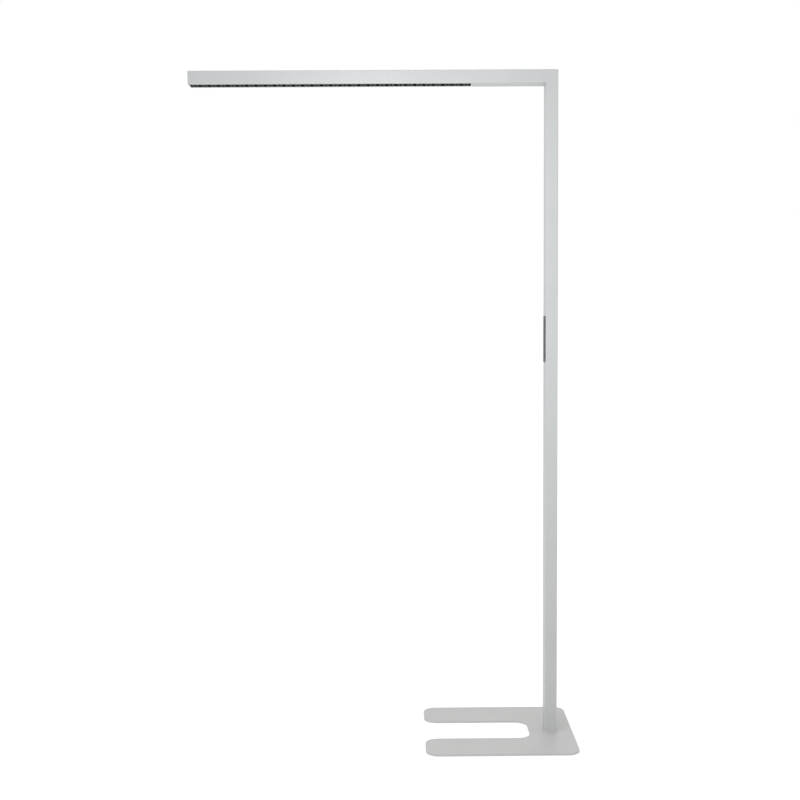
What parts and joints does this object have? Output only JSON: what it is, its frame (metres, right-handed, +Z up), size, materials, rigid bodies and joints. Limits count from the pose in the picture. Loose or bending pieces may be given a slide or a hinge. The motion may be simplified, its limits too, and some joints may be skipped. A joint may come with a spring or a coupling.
{
  "type": "office floor lamp",
  "caption": "Slim free-standing office lamp: U-shaped base plate, rectangular column with push-button panel, and a long arm with black cell louvers below and an opal diffuser above.",
  "frame": {"origin": "on the floor plane, under the middle of the column", "axes": "+Z up along the column, the arm reaches out along -X over the desk, the front of the lamp looks along -Y and the cord inlet is on the +Y side"},
  "size_m": [1.111, 0.446, 1.95],
  "materials": {
    "powder_coat": "fine satin powder coat, light silver grey",
    "base_coat": "fine satin powder coat, light silver grey",
    "felt": "matt",
    "zinc_steel": "zinc plated",
    "louver_black": "gloss",
    "board": "white solder mask",
    "opal": "opal, satin",
    "driver_case": "moulded",
    "bush": "moulded",
    "terminal": "moulded",
    "lead": "sheathed",
    "lead_grey": "sheathed",
    "panel_black": "fine texture",
    "panel_board": "green solder mask",
    "button": "soft touch"
  },
  "bodies": {
    "lamp": {"base_plate": "base_coat", "base_felt": "felt", "column": "powder_coat", "foot_block": "zinc_steel", "corner_bracket": "zinc_steel", "base_screw_1": "zinc_steel", "base_screw_2": "zinc_steel", "base_screw_3": "zinc_steel", "base_screw_4": "zinc_steel", "foot_grub_1": "zinc_steel", "foot_grub_2": "zinc_steel", "top_grub_1": "zinc_steel", "top_grub_2": "zinc_steel", "arm_grub_1": "zinc_steel", "arm_grub_2": "zinc_steel", "arm_housing": "powder_coat", "arm_end_cap": "powder_coat", "louver_1": "louver_black", "louver_2": "louver_black", "louver_3": "louver_black", "gear_tray": "zinc_steel", "down_board_1": "board", "down_board_2": "board", "down_board_3": "board", "up_board_1": "board", "up_board_2": "board", "up_board_3": "board", "up_diffuser": "opal", "driver": "driver_case", "driver_screw_1": "zinc_steel", "driver_screw_2": "zinc_steel", "inlet_bush": "bush", "terminal_block": "terminal", "mains_lead": "lead", "control_lead": "lead_grey", "up_lead": "lead", "down_lead": "lead", "panel_bezel": "panel_black", "panel_board": "panel_board", "panel_screw_1": "zinc_steel", "panel_screw_2": "zinc_steel"},
    "button_power": {"button_power": "button"},
    "button_brighter": {"button_brighter": "button"},
    "button_dimmer": {"button_dimmer": "button"},
    "button_auto": {"button_auto": "button"}
  },
  "joints": [
    {"name": "button_power_press", "type": "slide", "parent": "lamp", "child": "button_power", "axis": [1, 0, 0], "range_m": [0, 0.0005], "stiffness_N_per_m": 900, "springref_m": -0.0012},
    {"name": "button_brighter_press", "type": "slide", "parent": "lamp", "child": "button_brighter", "axis": [1, 0, 0], "range_m": [0, 0.0005], "stiffness_N_per_m": 900, "springref_m": -0.0012},
    {"name": "button_dimmer_press", "type": "slide", "parent": "lamp", "child": "button_dimmer", "axis": [1, 0, 0], "range_m": [0, 0.0005], "stiffness_N_per_m": 900, "springref_m": -0.0012},
    {"name": "button_auto_press", "type": "slide", "parent": "lamp", "child": "button_auto", "axis": [1, 0, 0], "range_m": [0, 0.0005], "stiffness_N_per_m": 900, "springref_m": -0.0012}
  ]
}
